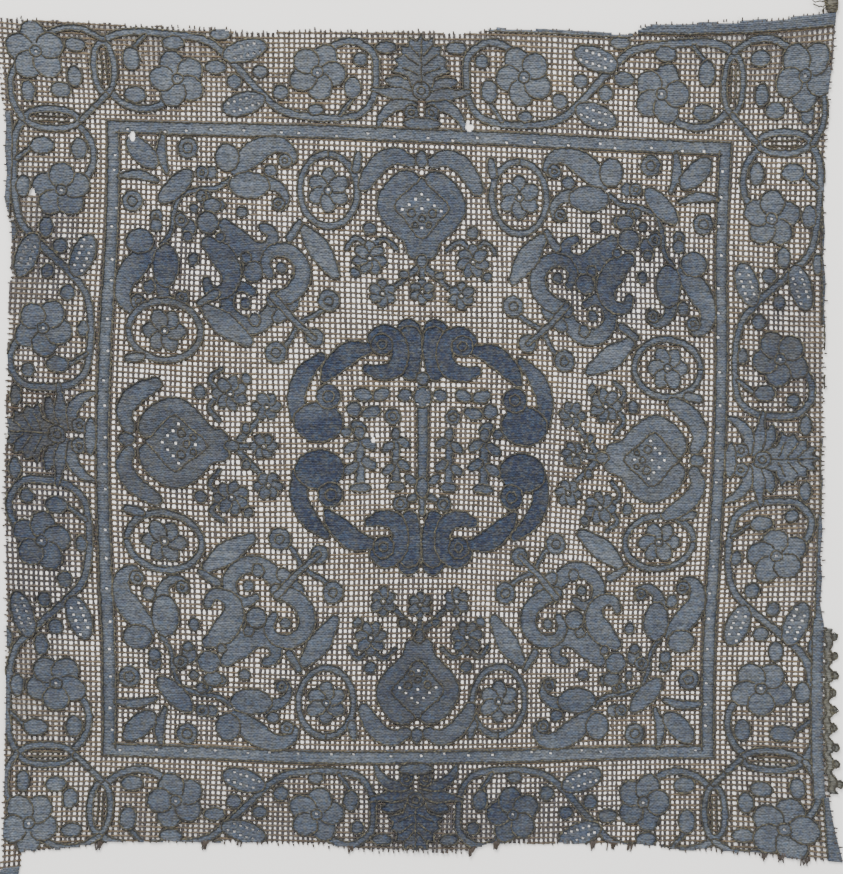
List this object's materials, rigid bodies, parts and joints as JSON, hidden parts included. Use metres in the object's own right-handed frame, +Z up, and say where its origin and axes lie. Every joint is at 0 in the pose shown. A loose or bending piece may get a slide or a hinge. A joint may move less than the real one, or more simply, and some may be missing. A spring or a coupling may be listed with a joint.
{
  "type": "chalice veil",
  "caption": "Square chalice veil of open net darned with flowers, leaves and scrolls, its edges worn, laid out flat.",
  "frame": {"origin": "centre of the design, on the surface that the veil lies on", "axes": "+Z up out of the worked face, +Y to the top of the design, +X to its right"},
  "size_m": [0.5296, 0.5495, 0.0016],
  "materials": {
    "veil": "blue-grey silk darning on dark net, olive brown cords",
    "edging_remnant": "brown silk edging",
    "corner_scrap": "brown silk edging, frayed"
  },
  "bodies": {
    "root": {"veil": "veil", "edging_remnant": "edging_remnant", "corner_scrap": "corner_scrap"}
  },
  "joints": []
}
